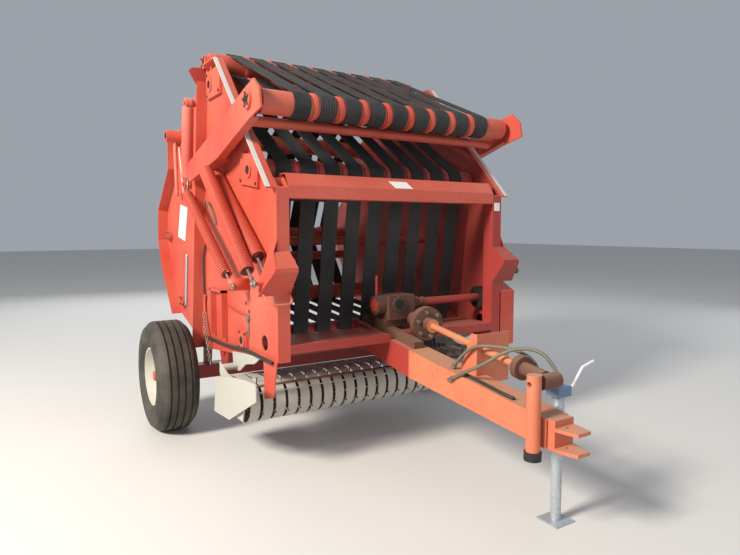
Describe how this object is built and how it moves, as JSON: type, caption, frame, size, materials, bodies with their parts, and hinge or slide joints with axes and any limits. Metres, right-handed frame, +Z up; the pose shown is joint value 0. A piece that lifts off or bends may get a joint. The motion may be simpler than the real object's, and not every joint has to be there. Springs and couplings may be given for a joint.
{
  "type": "round baler",
  "caption": "Towed round baler for hay: open front with flat ribbed belts, lifting tailgate on two cylinders, spring tension arms, tined pickup, tongue with pin hitch and jack, on wheels",
  "frame": {"origin": "on the ground under the middle of the bounding box", "axes": "+X towards the machine's own left side as it faces the tractor, +Y from the hitch to the tailgate, +Z up"},
  "size_m": [2.49, 3.72, 2.637],
  "materials": {
    "paint_red": "faded",
    "hitch": "faded, rust at the edges",
    "belt": "ribbed, matte",
    "tyre": "dusty",
    "rim": "dull, light grey",
    "steel": "worn, lightly rusted",
    "roller": "worn by the belts",
    "spring": "faded, bare where the coils rub",
    "hose": "khaki cover, dusty",
    "black": "satin",
    "galvanised": "worn bright by the crop"
  },
  "bodies": {
    "frame": {"axle": "paint_red", "belts_frame": "belt", "chain_cover": "paint_red", "chamber_bar": "paint_red", "cross_shaft": "steel", "driveline": "steel", "floor_drum": "roller", "gearbox": "paint_red", "hitch_clevis": "hitch", "hose_1": "hose", "hose_2": "hose", "hose_end_1": "steel", "hose_end_2": "steel", "hose_glands": "steel", "jack_crank": "black", "jack_tube": "paint_red", "pickup_bracket_left": "galvanised", "pickup_bracket_right": "galvanised", "post_left": "paint_red", "post_right": "paint_red", "roller_hinge": "roller", "roller_tension": "roller", "roller_throat_low": "roller", "roller_throat_top": "roller", "roller_upper": "roller", "shaft_bracket": "steel", "side_wall_left": "paint_red", "side_wall_right": "paint_red", "sill": "paint_red", "springs_left": "spring", "springs_right": "spring", "tension_arm_left": "paint_red", "tension_arm_right": "paint_red", "tongue": "hitch", "top_beam": "paint_red", "torque_tube": "paint_red"},
    "tailgate": {"tail_side_left": "paint_red", "tail_side_right": "paint_red", "tail_tube_upper": "paint_red", "tail_tube_lower": "paint_red", "roller_tail_low": "roller", "roller_tail_rear": "roller", "roller_tail_top": "roller", "belts_tail": "belt"},
    "pickup": {"strippers": "galvanised", "pickup_bar": "paint_red", "pickup_side_left": "paint_red", "pickup_side_right": "paint_red"},
    "reel": {"reel": "steel"},
    "jack_leg": {"jack_leg": "steel"},
    "hanging_shaft": {"hanging_shaft": "black"},
    "wheel_left": {"tyre_left": "tyre", "rim_left": "rim"},
    "barrel_left": {"cylinder_barrel_left": "paint_red"},
    "rod_left": {"cylinder_rod_left": "steel"},
    "wheel_right": {"tyre_right": "tyre", "rim_right": "rim"},
    "barrel_right": {"cylinder_barrel_right": "paint_red"},
    "rod_right": {"cylinder_rod_right": "steel"}
  },
  "joints": [
    {"name": "wheel_right", "type": "hinge", "parent": "frame", "child": "wheel_right", "pos_m": [-1.105, 0.87, 0.39], "axis": [1, 0, 0], "continuous": true},
    {"name": "wheel_left", "type": "hinge", "parent": "frame", "child": "wheel_left", "pos_m": [1.105, 0.87, 0.39], "axis": [1, 0, 0], "continuous": true},
    {"name": "tailgate", "type": "hinge", "parent": "frame", "child": "tailgate", "pos_m": [0, 0.62, 2.56], "axis": [1, 0, 0], "range_deg": [0, 60]},
    {"name": "barrel_right", "type": "hinge", "parent": "tailgate", "child": "barrel_right", "pos_m": [-0.915, 0.857, 2.325], "axis": [1, 0, 0], "range_deg": [-75, 0]},
    {"name": "rod_right", "type": "slide", "parent": "barrel_right", "child": "rod_right", "axis": [0, 0.1333, -0.9911], "range_m": [0, 0.36]},
    {"name": "barrel_left", "type": "hinge", "parent": "tailgate", "child": "barrel_left", "pos_m": [0.915, 0.857, 2.325], "axis": [1, 0, 0], "range_deg": [-75, 0]},
    {"name": "rod_left", "type": "slide", "parent": "barrel_left", "child": "rod_left", "axis": [0, 0.1333, -0.9911], "range_m": [0, 0.36]},
    {"name": "pickup_lift", "type": "hinge", "parent": "frame", "child": "pickup", "pos_m": [0, 0.16, 0.56], "axis": [-1, 0, 0], "range_deg": [-4, 10]},
    {"name": "pickup_reel", "type": "hinge", "parent": "pickup", "child": "reel", "pos_m": [0, -0.07, 0.39], "axis": [1, 0, 0], "continuous": true},
    {"name": "jack_leg", "type": "slide", "parent": "frame", "child": "jack_leg", "axis": [0, 0, 1], "range_m": [0, 0.25]},
    {"name": "shaft_swing", "type": "hinge", "parent": "frame", "child": "hanging_shaft", "pos_m": [-0.128, -1.675, 0.748], "axis": [-1, 0, 0], "range_deg": [-60, 30]}
  ],
  "couplings": [
    {"joint": "barrel_left", "follows": "tailgate", "ratio": -1.18},
    {"joint": "rod_left", "follows": "tailgate", "m_per_rad": 0.294},
    {"joint": "barrel_right", "follows": "tailgate", "ratio": -1.18},
    {"joint": "rod_right", "follows": "tailgate", "m_per_rad": 0.294}
  ]
}
